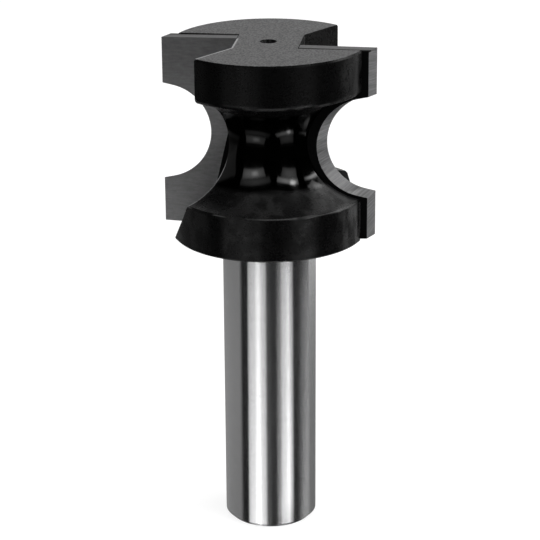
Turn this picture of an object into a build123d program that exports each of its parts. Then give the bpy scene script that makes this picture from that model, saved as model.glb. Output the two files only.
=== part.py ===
from build123d import *
from math import cos, hypot, radians, sin, sqrt, tan
import os

# A router bit that cuts a half-round nose: a turned steel body with two brazed carbide tips.
# Millimetres and degrees. The origin is the centre of the shank's foot and +Z runs up the axis to
# the head. The cutting faces of the tips are parallel to X. Wing 1 points along +X and wing 2
# along -X, and the bit cuts counter-clockwise as seen from above the head.

# Shank
shank_diameter = 12.7
shank_length = 42.1
foot_chamfer = 0.65
shank_root_radius = 0.8

# Head as it leaves the lathe, before its gullets are milled
head_diameter = 26.3
head_length = 26.25
edge_break = 0.25              # chamfer on its corners, but for the rounded lip over the groove
upper_lip_radius = 0.8

# Centre hole in the top of the head, left by the grinding between centres
centre_hole_diameter = 2.3
centre_hole_angle = 60
centre_pilot_diameter = 1.0
centre_pilot_depth = 1.2

# The half-round form that the tips cut
wing_count = 2
cutting_diameter = 29.1
nose_radius = 6.5
nose_height = 13.25            # centre of the form above the underside of the head
nose_draft = 12                # its two ends open by this angle, so that the board isn't pinched

# The turned groove clears the form, and most of all towards the lower flange
groove_neck_clearance = 1.4
groove_neck_rise = 0.35        # narrowest place of the neck above the centre of the form
groove_upper_radius = 6.7
groove_lower_radius = 7.7

# Carbide tips, ground after brazing
tip_thickness = 2.05
tip_top_drop = 0.1             # outer top corner below the top of the head
tip_bottom_rise = 0.475        # outer bottom corner above the underside of the head
tip_top_slope = 0.4            # the top edge falls and the bottom edge rises towards the outside
tip_bottom_slope = 2.4
rake_offset = 1.35             # cutting face behind the axis, which gives the tip its hook angle
radial_relief = 24.5           # how the ground margin falls back behind the cutting edge
upper_relief = 2.5             # the same above and below the centre of the form
lower_relief = 12
braze_gap = 0.1

# Gullets and tip seats, milled by a disc that comes down beside the axis and stops above the shank
web_thickness = 8.6            # steel that is left between the two gullet floors
gullet_floor_width = 5.4       # from the cutting face to the knee
gullet_back_angle = 32         # between the back wall and the floor's own plane
gullet_knee_radius = 0.8
gullet_cutter_radius = 17.5
gullet_stop_height = 13.9      # lowest place of the disc's centre above the underside of the head

# Worked out from the sizes above
head_radius = head_diameter / 2
top_z = shank_length + head_length
nose_z = shank_length + nose_height
neck_z = nose_z + groove_neck_rise
tip_reach = sqrt((cutting_diameter / 2) ** 2 - rake_offset ** 2)
neck_radius = tip_reach - nose_radius - groove_neck_clearance
back_reach = tip_reach - tip_thickness * tan(radians(radial_relief))
upper_fall = tip_thickness * tan(radians(upper_relief))
lower_fall = tip_thickness * tan(radians(lower_relief))
back_nose_radius = nose_radius + (upper_fall + lower_fall) / 2
back_nose_z = nose_z + (upper_fall - lower_fall) / 2
seat_depth = tip_thickness + braze_gap
floor_x = web_thickness / 2
cutter_x = floor_x + gullet_cutter_radius
cutter_z = shank_length + gullet_stop_height
beyond = 1.0                   # how far a cut runs past the surface that it breaks through
rake_plane = Plane((0, -rake_offset, 0), x_dir=(1, 0, 0), z_dir=(0, -1, 0))


def corners(sketch, x, y):
    """The vertices of a sketch at this place."""
    return sketch.vertices().filter_by(lambda v: hypot(v.X - x, v.Y - y) < 0.001)


def groove_section():
    """The space turned out of the head, in radius and height: two arcs that meet at the neck."""
    upper_x, upper_z = neck_radius + groove_upper_radius, neck_z + groove_upper_radius
    lower_x, lower_z = neck_radius + groove_lower_radius, neck_z - groove_lower_radius
    outer = head_radius + max(upper_x, lower_x)
    return make_face([
        CenterArc((upper_x, neck_z), groove_upper_radius, 90, 90),
        CenterArc((lower_x, neck_z), groove_lower_radius, 180, 90),
        Polyline((lower_x, lower_z), (outer, lower_z), (outer, upper_z), (upper_x, upper_z)),
    ])


def turned_blank():
    """Shank and head in one piece, revolved from half of its section."""
    shank = Rectangle(shank_diameter / 2, shank_length, align=(Align.MIN, Align.MIN))
    shank = chamfer(corners(shank, shank_diameter / 2, 0), foot_chamfer)
    head = Pos(0, shank_length) * Rectangle(head_radius, head_length, align=(Align.MIN, Align.MIN))
    section = shank + (head - groove_section())
    rim = section.vertices().filter_by(lambda v: abs(v.X - head_radius) < 0.001).sort_by(Axis.Y)
    underside, lower_lip, upper_lip, top_edge = [v.Y for v in rim]
    for height in [underside, lower_lip, top_edge]:
        section = chamfer(corners(section, head_radius, height), edge_break)
    section = fillet(corners(section, head_radius, upper_lip), upper_lip_radius)
    section = fillet(corners(section, shank_diameter / 2, shank_length), shank_root_radius)
    return revolve(Plane.XZ * section, Axis.Z)


def centre_hole():
    """A centre drill's cone and pilot, sunk from the top of the head."""
    radius, pilot = centre_hole_diameter / 2, centre_pilot_diameter / 2
    cone_z = top_z - (radius - pilot) / tan(radians(centre_hole_angle / 2))
    floor_z = cone_z - centre_pilot_depth
    section = make_face(Polyline(
        (0, top_z), (radius, top_z), (pilot, cone_z), (pilot, floor_z), (0, floor_z), close=True,
    ))
    return revolve(Plane.XZ * section, Axis.Z)


def gullet_and_seat():
    """What the disc removes at wing 1: the chip space ahead of the tip, and the seat behind it.

    The outline is half of the disc's own. Its rim mills the floor, its flat side the face that the
    tip is brazed to, and its leaning side the back wall. It leaves a round run-out at its stop.
    """
    seat_y = -rake_offset - seat_depth
    knee_y = gullet_floor_width - rake_offset
    lean = gullet_cutter_radius / tan(radians(gullet_back_angle))
    outline = make_face(Polyline(
        (floor_x, seat_y), (floor_x, knee_y), (cutter_x, knee_y + lean), (cutter_x, seat_y), close=True,
    ))
    outline = Pos(0, 0, cutter_z) * fillet(corners(outline, floor_x, knee_y), gullet_knee_radius)
    run_out = revolve(outline, Axis((cutter_x, 0, cutter_z), (0, 1, 0)))
    return extrude(outline, top_z + beyond - cutter_z) + run_out


def seat_side(gap):
    """The seat of wing 1 seen along Y, in X and Z, drawn in by the gap."""
    radius = gullet_cutter_radius - gap
    disc = Circle(radius)
    above = Rectangle(2 * radius, top_z, align=(Align.CENTER, Align.MIN))
    return Pos(cutter_x, cutter_z) * (disc + above)


def tip_outline(reach, radius, centre_z, gap):
    """A tip seen along Y, in X and Z: its ground form outside, and the seat's floor inside.

    The half-round is centred on the outer edge. It spans less than half a circle, and straight
    lines at the draft angle lead on from it.
    """
    top, bottom = top_z - tip_top_drop, shank_length + tip_bottom_rise
    top_rise, bottom_drop = reach * tan(radians(tip_top_slope)), reach * tan(radians(tip_bottom_slope))
    draft = radians(nose_draft)
    mouth = radius / cos(draft)
    arc_x, arc_z = reach - radius * sin(draft), radius * cos(draft)
    form = make_face([
        Polyline((0, top + top_rise), (reach, top), (reach, centre_z + mouth), (arc_x, centre_z + arc_z)),
        ThreePointArc((arc_x, centre_z + arc_z), (reach - radius, centre_z), (arc_x, centre_z - arc_z)),
        Polyline((arc_x, centre_z - arc_z), (reach, centre_z - mouth), (reach, bottom),
                 (0, bottom - bottom_drop), (0, top + top_rise)),
    ])
    return form & seat_side(gap)


def carbide_tip():
    """The tip of wing 1, ruled from its cutting face to a smaller back, so every margin is relieved."""
    face = tip_outline(tip_reach, nose_radius, nose_z, braze_gap)
    back = tip_outline(back_reach, back_nose_radius, back_nose_z, braze_gap)
    return loft([rake_plane * face, rake_plane.offset(tip_thickness) * back], ruled=True)


def braze_film(tip, blank):
    """The silver braze behind and inside the tip of wing 1, where both tip and body cover it."""
    outline = tip_outline(back_reach, back_nose_radius, back_nose_z, 0)
    return (extrude(rake_plane * outline, seat_depth) & blank) - tip


def on_wing(piece, wing):
    """A piece of wing 1, turned about the axis to its place on another wing."""
    return Rot(0, 0, wing * 360 / wing_count) * piece


def steel_body(blank):
    """The blank with its centre hole, its gullets and its tip seats."""
    body = blank - centre_hole()
    cut = gullet_and_seat()
    for wing in range(wing_count):
        body -= on_wing(cut, wing)
    return body


blank = turned_blank()
tip = carbide_tip()
film = braze_film(tip, blank)
pieces = {"steel_body": steel_body(blank)}
for wing in range(wing_count):
    pieces[f"carbide_tip_{wing + 1}"] = on_wing(tip, wing)
    pieces[f"braze_film_{wing + 1}"] = on_wing(film, wing)

os.makedirs("parts", exist_ok=True)
for name, piece in pieces.items():
    export_step(piece, f"parts/{name}.step")
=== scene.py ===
from math import cos, pi, radians, sin, tan

import bmesh
import bpy
from mathutils import Matrix, Vector

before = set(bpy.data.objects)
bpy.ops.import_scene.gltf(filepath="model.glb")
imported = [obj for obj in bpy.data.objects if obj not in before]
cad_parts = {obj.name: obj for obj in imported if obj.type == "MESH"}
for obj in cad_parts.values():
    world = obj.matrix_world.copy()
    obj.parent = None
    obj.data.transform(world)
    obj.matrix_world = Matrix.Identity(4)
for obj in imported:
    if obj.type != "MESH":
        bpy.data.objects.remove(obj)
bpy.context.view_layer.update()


# ---- Steel body -------------------------------------------------------------------------------
# One turned and milled bar. The head is blasted and coated black, and its groove is turned so
# smooth that the coat is glossy there. The shank is ground between centres and left bare.

# Millimetres from the axis and from the shank's foot
rim_radius = 13.15
head_foot_z, top_z = 42.1, 68.35
lower_lip_z, upper_lip_z = 48.0, 62.4
coat_end_z = 41.15
groove_x, groove_z, groove_radius = 14.3, 55.7, 7.7       # the arc of the groove's lower half
gloss_foot_z, gloss_head_z = 49.9, 60.8                   # where the groove is turned smooth
floor_x, knee_y = 4.3, 4.05                               # the gullet's floor, and its far corner
tip_side_y = 1.1                                          # the tip of wing 2 is just past this
gullet_lean = radians(32)
disc_x, disc_z, disc_radius = 21.8, 56.0, 17.5            # the milling disc at its stop

# The coat, whole and blasted, with lighter tones painted on it as light, a reflection and
# highlights, the steel under it, and the ground shank
whole_coat, blasted_coat = (0.0001, 0.0001, 0.0001), (0.0045, 0.0045, 0.0046)
flare_lit_coat, rim_reflection_coat = (0.016, 0.016, 0.016), (0.035, 0.035, 0.035)
corner_highlight_coat, painted_lit_top = (0.045, 0.045, 0.045), (0.090, 0.090, 0.091)
bare_steel = (0.55, 0.55, 0.555)
ground_dark, ground_bright = (0.56, 0.56, 0.565), (0.80, 0.80, 0.805)


class Socket:
    """A socket of a material, with the operators that build its Math nodes."""

    def __init__(self, tree, socket=None):
        self.tree = tree
        self.socket = socket

    def node(self, kind, settings, inputs, output=0):
        """Add a node, set it up, and give one of its outputs."""
        node = self.tree.nodes.new(kind)
        for name, value in settings.items():
            setattr(node, name, value)
        for name, value in inputs.items():
            if isinstance(value, Socket):
                self.tree.links.new(value.socket, node.inputs[name])
            else:
                node.inputs[name].default_value = value
        return Socket(self.tree, node.outputs[output])

    def math(self, operation, *values):
        return self.node("ShaderNodeMath", {"operation": operation}, dict(enumerate(values)))

    def __add__(self, other):
        return self.math("ADD", self, other)

    def __sub__(self, other):
        return self.math("SUBTRACT", self, other)

    def __rsub__(self, other):
        return self.math("SUBTRACT", other, self)

    def __mul__(self, other):
        return self.math("MULTIPLY", self, other)

    def __pow__(self, other):
        return self.math("POWER", self, other)

    def __neg__(self):
        return self.math("MULTIPLY", self, -1)

    __radd__ = __add__
    __rmul__ = __mul__

    def along(self, axis):
        """The X, Y or Z of a vector."""
        return self.node("ShaderNodeSeparateXYZ", {}, {0: self}, output=axis)

    def rise(self, start, end):
        """0 below the start, 1 above the end, and smooth between them."""
        return self.node("ShaderNodeMapRange", {"interpolation_type": "SMOOTHSTEP"},
                         {"Value": self, "From Min": start, "From Max": end})

    def noise(self, scale, detail=2.0, stretch=(1, 1, 1)):
        """Cloudy noise over a vector, with as many blots to the millimetre as the scale."""
        place = self.node("ShaderNodeVectorMath", {"operation": "MULTIPLY"}, {0: self, 1: stretch})
        return self.node("ShaderNodeTexNoise", {},
                         {"Vector": place, "Scale": scale, "Detail": detail})

    def blend(self, low, high):
        """The low colour where this value is 0, and the high one where it is 1."""
        colours = [c if isinstance(c, Socket) else (*c, 1) for c in (low, high)]
        return self.node("ShaderNodeMix", {"data_type": "RGBA"},
                         {0: self, 6: colours[0], 7: colours[1]}, output=2)


def new_material(name):
    """An empty material, its output node, and its object coordinates in millimetres."""
    material = bpy.data.materials.new(name)
    material.use_nodes = True
    tree = material.node_tree
    tree.nodes.clear()
    out = tree.nodes.new("ShaderNodeOutputMaterial")
    metres = Socket(tree).node("ShaderNodeTexCoord", {}, {}, output="Object")
    place = metres.node("ShaderNodeVectorMath", {"operation": "SCALE"}, {0: metres, "Scale": 1000})
    return material, out, place


def distance(across, up, centre_across=0, centre_up=0):
    """How far a place is from the centre of a circle, in the plane of the circle."""
    across, up = across - centre_across, up - centre_up
    return (across * across + up * up) ** 0.5


def bump(height, strength, depth):
    """Raised and sunk detail, of this depth in metres."""
    return height.node("ShaderNodeBump", {},
                       {"Height": height, "Strength": strength, "Distance": depth})


def worn_edges(place, x, y, z, radius, top):
    """The edges of the gullet before wing 2 that have lost their coat, at its top and its foot.

    Each is a line on the steel within a given distance of the gullet's own surface.
    """
    from_floor = floor_x + x
    from_wall = sin(gullet_lean) * (-y - knee_y) - cos(gullet_lean) * (-x - floor_x)
    beside_tip = (y - tip_side_y).rise(0, 0.2)
    from_gullet = from_wall.math("MAXIMUM", from_wall, from_floor) + 10 * beside_tip
    at_top = (1 - from_gullet.rise(0.10, 0.22 + 0.20 * place.noise(1.5))) * top

    from_arc = distance(radius, z, groove_x, groove_z)
    flare = from_arc.rise(groove_radius - 0.10, groove_radius - 0.06)
    flare = flare * (1 - from_arc.rise(groove_radius + 0.06, groove_radius + 0.10))
    flare = flare * z.rise(lower_lip_z, lower_lip_z + 0.1) * (1 - z.rise(51.5, 54))
    from_run_out = distance(x, z, -disc_x, disc_z) - disc_radius - tan(gullet_lean) * (y + knee_y)
    at_foot = (1 - from_run_out.rise(0.10, 0.22)) * flare
    return at_top + 0.6 * at_foot


def rim_corner_painted_highlights(place, z, radius):
    """Painted highlights on the outer corners of the rims, in broken lengths."""
    rim = radius.rise(rim_radius - 0.27, rim_radius - 0.22)
    foot = rim * z.rise(head_foot_z, head_foot_z + 0.04)
    foot = foot * (1 - z.rise(head_foot_z + 0.22, head_foot_z + 0.28))
    lower_lip = rim * z.rise(lower_lip_z - 0.10, lower_lip_z - 0.05)
    lower_lip = lower_lip * (1 - z.rise(lower_lip_z + 0.03, lower_lip_z + 0.07))
    upper_lip = radius.rise(rim_radius - 0.85, rim_radius - 0.65)
    upper_lip = upper_lip * z.rise(upper_lip_z, upper_lip_z + 0.05)
    upper_lip = upper_lip * (1 - z.rise(upper_lip_z + 0.35, upper_lip_z + 0.55))
    return (foot + lower_lip + upper_lip) * place.noise(0.35, detail=1).rise(0.42, 0.56)


def black_coat(place, x, y, z):
    """The coat: black, with the blasted grain showing where the steel isn't turned smooth."""
    radius = distance(x, y)
    top = z.rise(top_z - 0.03, top_z - 0.01)
    groove = 1 - radius.rise(rim_radius - 0.40, rim_radius - 0.17)
    groove = groove * z.rise(gloss_foot_z, gloss_foot_z + 0.6)
    groove = groove * (1 - z.rise(gloss_head_z - 0.8, gloss_head_z))
    worn = 0.8 * worn_edges(place, x, y, z, radius, top)

    grain = place.noise(3.6, detail=3) * (1 - groove)
    top_grain = place.noise(3.5, detail=3, stretch=(1.1, 0.65, 1)).rise(0.38, 0.62)
    cloud = place.noise(0.6, detail=3)
    mottle = place.noise(0.40, detail=4).rise(0.43, 0.57)
    smear = place.noise(0.9, detail=4, stretch=(1, 1, 0.35)).rise(0.38, 0.62)

    # Painted light: the foot of the groove is painted lighter, as light falls on its satin coat,
    # fading out towards the left. Painted reflection: the ends of both rims beside wing 1 are
    # painted lighter in streaks.
    flare_painted_light = z.rise(lower_lip_z, lower_lip_z + 0.2) * (1 - z.rise(49.6, 50.6)) * x.rise(-7, 1)
    flare_painted_light = flare_painted_light * (1 - 0.7 * mottle)
    rim_end = x.rise(9.9, 11.4) * (1 - y.rise(-3, 0))
    lower_rim = 1 - z.rise(lower_lip_z - 0.4, lower_lip_z - 0.1)
    upper_rim = z.rise(upper_lip_z, upper_lip_z + 0.4)
    rim_end_painted_reflection = rim_end * (lower_rim + 0.4 * upper_rim) * smear

    colour = grain.blend(whole_coat, blasted_coat)
    colour = flare_painted_light.blend(colour, flare_lit_coat)
    colour = rim_end_painted_reflection.blend(colour, rim_reflection_coat)
    # Painted light: the top is painted lighter, as light from above falls on it, speckled by its
    # blasted grain
    colour = ((0.15 + 0.85 * top_grain) * top).blend(colour, painted_lit_top)
    colour = rim_corner_painted_highlights(place, z, radius).blend(colour, corner_highlight_coat)
    colour = worn.blend(colour, bare_steel)
    roughness = 0.18 + 0.17 * top + 0.10 * cloud + 0.10 * grain - 0.15 * groove

    # Thin above the neck and thick below it, with a grain that the lathe has drawn out round the
    # axis. The top is blasted only.
    finishes = (0.085, 0.95, 0.3), (0.22, 0.95, 0.3), (0.38, 0, 0.9)
    thin_coat, thick_coat, top_coat = [place.node("ShaderNodeBsdfPrincipled", {}, {
        "Base Color": colour,
        "Metallic": worn,
        "Roughness": roughness,
        "Specular IOR Level": shine,
        "Anisotropic": drawn_out,
        "Anisotropic Rotation": 0.25,
        "Normal": bump(grain, grain_strength, 0.00003),
    }) for shine, drawn_out, grain_strength in finishes]
    thick = (1 - z.rise(groove_z - 0.5, groove_z + 0.5)) * (1 - 0.7 * mottle * (1 - z.rise(50, 52)))
    sides = place.node("ShaderNodeMixShader", {}, {0: thick, 1: thin_coat, 2: thick_coat})
    return place.node("ShaderNodeMixShader", {}, {0: top, 1: sides, 2: top_coat})


def ground_steel(place):
    """The shank: rings from the grinding wheel, too fine to see one by one."""
    rings = place.noise(1.0, detail=4, stretch=(0.25, 0.25, 9))
    wide_rings = place.noise(1.0, detail=2, stretch=(0.05, 0.05, 1.1))
    sparkle = place.noise(5.0, detail=2, stretch=(1, 1, 1.6)).rise(0.3, 0.7)
    return place.node("ShaderNodeBsdfPrincipled", {}, {
        "Base Color": (0.5 * rings + 0.5 * sparkle).blend(ground_dark, ground_bright),
        "Metallic": 1.0,
        "Roughness": 0.20 + 0.03 * rings + 0.02 * wide_rings,
        "Anisotropic": 1.0,
        "Anisotropic Rotation": 0.25,
        "Normal": bump(rings, 0.10, 0.00001),
    })


def body_material():
    material, out, place = new_material("coated_head_ground_shank")
    x, y, z = [place.along(axis) for axis in "XYZ"]
    uneven_end = coat_end_z + 0.25 * place.noise(0.5)
    bare = 1 - (z - uneven_end).rise(-0.06, 0.06)
    both = place.node("ShaderNodeMixShader", {}, {
        0: bare, 1: black_coat(place, x, y, z), 2: ground_steel(place),
    })
    material.node_tree.links.new(both.socket, out.inputs["Surface"])
    return material


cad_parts["steel_body"].data.materials.clear()
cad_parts["steel_body"].data.materials.append(body_material())


# ---- Carbide tips -----------------------------------------------------------------------------
# Two slips of tungsten carbide, brazed in before the head is coated. The cutting face and all the
# margins are ground bare afterwards, so the coat stays on the back and beside the gullet floor.

cutting_face_y, back_y = -1.35, -3.40
tip_end_z = 68.0                          # the margin on the tip's end lies above this
nose_z = 55.35                            # the centre of the half-round
nose_foot_z = 49.0                        # and the foot of its curved margin
unground_x, unground_z = 5.66, 55.5       # where the wheel stopped on the cutting face
unground_lean = 0.2343                    # how that line leans inwards as it rises

carbide_dark, carbide_bright = (0.155, 0.155, 0.157), (0.365, 0.365, 0.368)
carbide_in_shade = (0.01, 0.01, 0.01)
tip_coat = (0.0015, 0.0015, 0.0016)


def tip_material(name, half_turns):
    material, out, place = new_material(name)
    place = place.node("ShaderNodeMapping", {},
                       {"Vector": place, "Rotation": (0, 0, half_turns * pi)})
    x, y, z = [place.along(axis) for axis in "XYZ"]
    face = y.rise(cutting_face_y - 0.07, cutting_face_y - 0.03)
    margin = 1 - face
    end_margin = z.rise(tip_end_z, tip_end_z + 0.1)

    # The coat is left on the back, on the face along the gullet floor, and at the end on the joint
    back = 1 - y.rise(back_y + 0.015, back_y + 0.04)
    wheel_stop_x = unground_x + unground_lean * (unground_z - z)
    unground = face * (1 - (x - wheel_stop_x).rise(-0.06, 0.02))
    joint = end_margin * (1 - y.rise(back_y + 0.45, back_y + 0.65))
    coated = back.math("MAXIMUM", back, unground.math("MAXIMUM", unground, joint))

    # Wheel marks run along the cutting face. On the margins they run across from the edge to the
    # back, and lean as the margins do: inwards, and down by more below the nose than above it.
    face_marks = place.noise(1.0, detail=3, stretch=(0.8, 1, 4))
    behind = y - cutting_face_y
    edge_x = x - 0.50 * behind
    edge_z = z - (0.084 + 0.0197 * (nose_z - z)) * behind
    edge_place = place.node("ShaderNodeCombineXYZ", {}, {"X": edge_x, "Y": 0.1 * y, "Z": edge_z})
    margin_marks = edge_place.noise(1.0, detail=2, stretch=(5.5, 1, 5.5)).rise(0.26, 0.74)
    marks = face_marks * face + margin_marks * margin
    grit = place.noise(4, detail=3)

    # Painted shade: the face is painted a little darker, more so towards its top, and the end
    # margin and the hollow below the nose are painted darker still
    hollow = z.rise(nose_foot_z - 0.1, nose_foot_z + 0.1) * (1 - z.rise(50, 54.5)) * margin
    face_painted_shade = 0.09 * face + 0.3 * (z.rise(56, 66) * face)
    margin_painted_shade = 0.4 * (end_margin * margin) + 0.45 * hollow
    bare = (0.7 * marks + 0.3 * grit).blend(carbide_dark, carbide_bright)
    bare = (face_painted_shade + margin_painted_shade).blend(bare, carbide_in_shade)
    carbide = place.node("ShaderNodeBsdfPrincipled", {}, {
        "Base Color": coated.blend(bare, tip_coat),
        "Metallic": 1 - coated,
        "Roughness": 0.46 + 0.10 * marks,
        "Specular IOR Level": 0.03,
        "Normal": bump(marks, 0.22, 0.000015),
    })
    material.node_tree.links.new(carbide.socket, out.inputs["Surface"])
    return material


for wing in range(2):
    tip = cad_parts[f"carbide_tip_{wing + 1}"]
    tip.data.materials.clear()
    tip.data.materials.append(tip_material(f"ground_carbide_{wing + 1}", wing))


# ---- Braze ------------------------------------------------------------------------------------
# Silver braze that has run into the gap behind and beside each tip. Only its edge shows, a thin
# lumpy line that the coat of the head covers too.

braze_coat, braze_coat_on_lumps = (0.0005, 0.0005, 0.0005), (0.006, 0.006, 0.006)


def braze_material():
    material, out, place = new_material("silver_braze")
    lumps = place.noise(3, detail=3)
    braze = place.node("ShaderNodeBsdfPrincipled", {}, {
        "Base Color": lumps.blend(braze_coat, braze_coat_on_lumps),
        "Roughness": 0.45 + 0.2 * lumps,
        "Specular IOR Level": 0.03,
        "Normal": bump(lumps, 0.4, 0.00003),
    })
    material.node_tree.links.new(braze.socket, out.inputs["Surface"])
    return material


silver_braze = braze_material()
for wing in range(2):
    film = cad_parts[f"braze_film_{wing + 1}"]
    film.data.materials.clear()
    film.data.materials.append(silver_braze)


# ---- Floor ------------------------------------------------------------------------------------
# A pale, plain table that runs out of sight. It is lit as the object is, so it keeps the shadow,
# and it glows a little towards the camera, which takes it to white.

floor_size = 6.0                          # metres from its middle to its edge
floor_colour = (0.40, 0.40, 0.40, 1)
floor_glow = 0.76


def stage_piece(name, shape, material):
    mesh = bpy.data.meshes.new(name)
    shape.to_mesh(mesh)
    shape.free()
    piece = bpy.data.objects.new(name, mesh)
    piece.data.materials.append(material)
    bpy.context.scene.collection.objects.link(piece)
    return piece


def seen_in_picture(tree):
    """1 for rays from the camera, also by way of a mirror or glass, and 0 for light on the way."""
    rays = [Socket(tree).node("ShaderNodeLightPath", {}, {}, output=kind)
            for kind in ("Is Camera Ray", "Is Glossy Ray", "Is Transmission Ray")]
    return rays[0].math("MINIMUM", rays[0] + rays[1] + rays[2], 1.0)


def floor_material():
    material, out, place = new_material("pale_floor")
    lit = place.node("ShaderNodeBsdfDiffuse", {}, {"Color": floor_colour})
    seen = seen_in_picture(material.node_tree)
    glow = place.node("ShaderNodeEmission", {}, {"Strength": floor_glow * seen})
    both = place.node("ShaderNodeAddShader", {}, {0: lit, 1: glow})
    material.node_tree.links.new(both.socket, out.inputs["Surface"])
    return material


floor_shape = bmesh.new()
bmesh.ops.create_grid(floor_shape, x_segments=1, y_segments=1, size=floor_size)
stage_piece("floor", floor_shape, floor_material())


# ---- Gloss sheet ------------------------------------------------------------------------------
# A mirror-bright sheet laid on the table, which only the object's own reflections show. It gives
# the groove and the shank the room a second time from below, and is duller in two places.

sheet_size = 2.0                          # metres, as the floor
sheet_lift = 0.0001
mirror_bright = (0.90, 0.90, 0.90)
dull_near_right, dull_far_left = (0.13, 0.13, 0.13), (0.42, 0.42, 0.42)


def seen_in_reflections_only(piece):
    piece.visible_camera = False
    piece.visible_diffuse = False
    piece.visible_shadow = False
    piece.visible_transmission = False


def gloss_sheet_material():
    """Duller beside the object on its right, and farther away on its left."""
    material, out, place = new_material("gloss_sheet")
    x, y = [place.along(axis) for axis in "XY"]
    radius = distance(x, y)
    near_right = (1 - radius.rise(100, 125)) * x.rise(0, 6) * y.rise(-9, -3)
    far_left = radius.rise(106, 120) * (-x).rise(60, 90) * y.rise(-90, -50)
    shine = near_right.blend(mirror_bright, dull_near_right)
    sheet = place.node("ShaderNodeBsdfPrincipled", {}, {
        "Base Color": far_left.blend(shine, dull_far_left),
        "Metallic": 1.0,
        "Roughness": 0.04,
    })
    material.node_tree.links.new(sheet.socket, out.inputs["Surface"])
    return material


sheet_shape = bmesh.new()
bmesh.ops.create_grid(sheet_shape, x_segments=1, y_segments=1, size=sheet_size,
                      matrix=Matrix.Translation((0, 0, sheet_lift)))
seen_in_reflections_only(stage_piece("gloss_sheet", sheet_shape, gloss_sheet_material()))


# ---- Black cloth ------------------------------------------------------------------------------
# A tall arc of cloth behind the camera and round the sides, which keeps the coat black. It leans
# inwards a little, and a length of it on the left is grey.

cloth_foot = (0, -1.6, 0.001)
cloth_head = (0, -1.1, 2.4)
cloth_left_end = 160                      # degrees from the camera's side of the table
cloth_right_end = 119
cloth_widths = 57
cloth_black, cloth_grey = (0.003, 0.003, 0.003), (0.34, 0.34, 0.34)


def black_cloth_material():
    material, out, place = new_material("black_cloth")
    x, y, z = [place.along(axis) for axis in "XYZ"]
    grey_length = (-x).rise(0, 10) * y.rise(-550, -505) * (1 - z.rise(800, 1000))
    cloth = place.node("ShaderNodeEmission", {}, {
        "Color": grey_length.blend(cloth_black, cloth_grey),
        "Strength": 1.0,
    })
    material.node_tree.links.new(cloth.socket, out.inputs["Surface"])
    return material


cloth_shape = bmesh.new()
foot = cloth_shape.verts.new(cloth_foot)
head = cloth_shape.verts.new(cloth_head)
edge = cloth_shape.edges.new((foot, head))
bmesh.ops.rotate(cloth_shape, verts=cloth_shape.verts, cent=(0, 0, 0),
                 matrix=Matrix.Rotation(-radians(cloth_left_end), 3, "Z"))
bmesh.ops.spin(cloth_shape, geom=[foot, head, edge], cent=(0, 0, 0), axis=(0, 0, 1),
               angle=radians(cloth_left_end + cloth_right_end), steps=cloth_widths)
seen_in_reflections_only(stage_piece("black_cloth", cloth_shape, black_cloth_material()))


# ---- Ceiling and room -------------------------------------------------------------------------
# A round ceiling at the head of the cloth, dim over the camera and to the left and paler to the
# right. Past the cloth's ends and behind the object the room is plain white.

ceiling_radius = 3.0
ceiling_z = 2.4
ceiling_dim, ceiling_pale = (0.05, 0.05, 0.05), (0.70, 0.70, 0.70)
room_light = 0.45                         # how bright the room is, as light on things


def ceiling_material():
    material, out, place = new_material("dim_ceiling")
    x, y = [place.along(axis) for axis in "XY"]
    paler = (0.0006 * x + 0.0002 * y).rise(-0.6, 0.9)
    ceiling = place.node("ShaderNodeEmission", {}, {
        "Color": paler.blend(ceiling_dim, ceiling_pale),
        "Strength": 1.0,
    })
    material.node_tree.links.new(ceiling.socket, out.inputs["Surface"])
    return material


ceiling_shape = bmesh.new()
bmesh.ops.create_circle(ceiling_shape, cap_ends=True, segments=48, radius=ceiling_radius,
                        matrix=Matrix.Translation((0, 0, ceiling_z)))
seen_in_reflections_only(stage_piece("ceiling", ceiling_shape, ceiling_material()))

world = bpy.data.worlds.new("pale_room")
bpy.context.scene.world = world
world.use_nodes = True
world.node_tree.nodes.clear()
world_out = world.node_tree.nodes.new("ShaderNodeOutputWorld")
room = Socket(world.node_tree).node("ShaderNodeBackground", {}, {
    "Strength": room_light + (1 - room_light) * seen_in_picture(world.node_tree),
})
world.node_tree.links.new(room.socket, world_out.inputs["Surface"])


# ---- Soft boxes -------------------------------------------------------------------------------
# Two boxes in front, on the left and on the right, with a lower and an upper panel and the glow of
# a bulb each, and a strip and a panel at the side. They stand where the groove mirrors them.

aim = Vector((0, 0, 0.05))                # the head, in metres
box_away = 1.20
bulb_away = 1.19                          # just before the panel that it shines through


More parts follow.
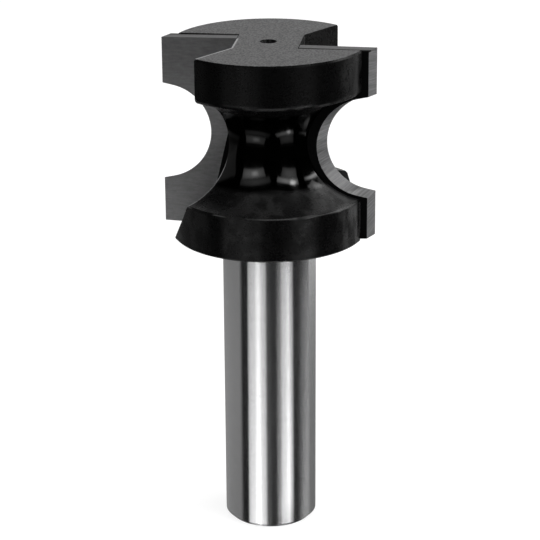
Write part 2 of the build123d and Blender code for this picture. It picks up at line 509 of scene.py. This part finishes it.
def soft_box(name, bearing, height, width, tall, radiance, edge, away=box_away, roll=0):
    """A lit panel that fills these angles, seen from the head. The bearing is from -Y towards +X.

    The edge is how bright its corners are, next to its middle, and roll lifts its right end.
    """
    bearing, height = radians(bearing), radians(height)
    towards = Vector((sin(bearing) * cos(height), -cos(bearing) * cos(height), sin(height)))
    light = bpy.data.lights.new(name, "AREA")
    light.shape = "RECTANGLE"
    light.size = 2 * away * tan(radians(width / 2))
    light.size_y = 2 * away * tan(radians(tall / 2))
    light.energy = radiance * pi * light.size * light.size_y
    light.use_nodes = True
    light.node_tree.nodes.clear()
    panel = Socket(light.node_tree).node("ShaderNodeNewGeometry", {}, {}, output="Parametric")
    across, up = [panel.along(axis) for axis in "XY"]
    middle = 16 * across * (1 - across) * up * (1 - up)
    glow = panel.node("ShaderNodeEmission", {}, {
        "Color": middle.blend((edge, edge, edge), (1, 1, 1)),
        "Strength": 1.0,
    })
    lamp_out = light.node_tree.nodes.new("ShaderNodeOutputLight")
    light.node_tree.links.new(glow.socket, lamp_out.inputs["Surface"])
    lamp = bpy.data.objects.new(name, light)
    lamp.location = aim + away * towards
    facing = towards.to_track_quat("Z", "Y").to_matrix() @ Matrix.Rotation(radians(roll), 3, "Z")
    lamp.rotation_euler = facing.to_euler()
    bpy.context.scene.collection.objects.link(lamp)


soft_box("left_box_lower", bearing=-27, height=31.5, width=43, tall=18, radiance=4.1, edge=0.42)
soft_box("left_box_upper", bearing=-25, height=48, width=50, tall=13, radiance=1.3, edge=0.4)
soft_box("left_bulb", bearing=-24, height=31.5, width=15, tall=11, radiance=5.0, edge=0,
         away=bulb_away)
soft_box("right_box_lower", bearing=52.5, height=31, width=30, tall=20, radiance=2.5, edge=0.4)
soft_box("right_box_upper", bearing=51.5, height=45.5, width=35, tall=10, radiance=7.4, edge=0.4)
soft_box("right_bulb", bearing=64, height=46.5, width=10, tall=10, radiance=22, edge=0,
         away=bulb_away)
soft_box("side_strip", bearing=108, height=27.5, width=36, tall=6, radiance=11, edge=0.1, roll=-32)
soft_box("side_box", bearing=122, height=41.5, width=30, tall=14, radiance=7.0, edge=0.3)


# ---- Camera -----------------------------------------------------------------------------------
# A long lens at 21 degrees above the table, a little to the right of square on to the tips. Its
# shift keeps the uprights as nearly parallel as they are in the photograph.

camera_place = (0.034884, -0.265533, 0.135332)
camera_bearing = 7.484                    # degrees, from -Y towards +X
camera_height = 20.725
camera_roll = -0.355

camera_data = bpy.data.cameras.new("camera")
camera_data.sensor_width = 36
camera_data.lens = 139.107
camera_data.shift_x = 0.0006
camera_data.shift_y = 0.0292
camera = bpy.data.objects.new("camera", camera_data)
camera.matrix_world = (
    Matrix.Translation(camera_place)
    @ Matrix.Rotation(radians(camera_bearing), 4, "Z")
    @ Matrix.Rotation(radians(90 - camera_height), 4, "X")
    @ Matrix.Rotation(radians(camera_roll), 4, "Z")
)
bpy.context.scene.collection.objects.link(camera)
bpy.context.scene.camera = camera
bpy.context.scene.view_settings.view_transform = "Standard"
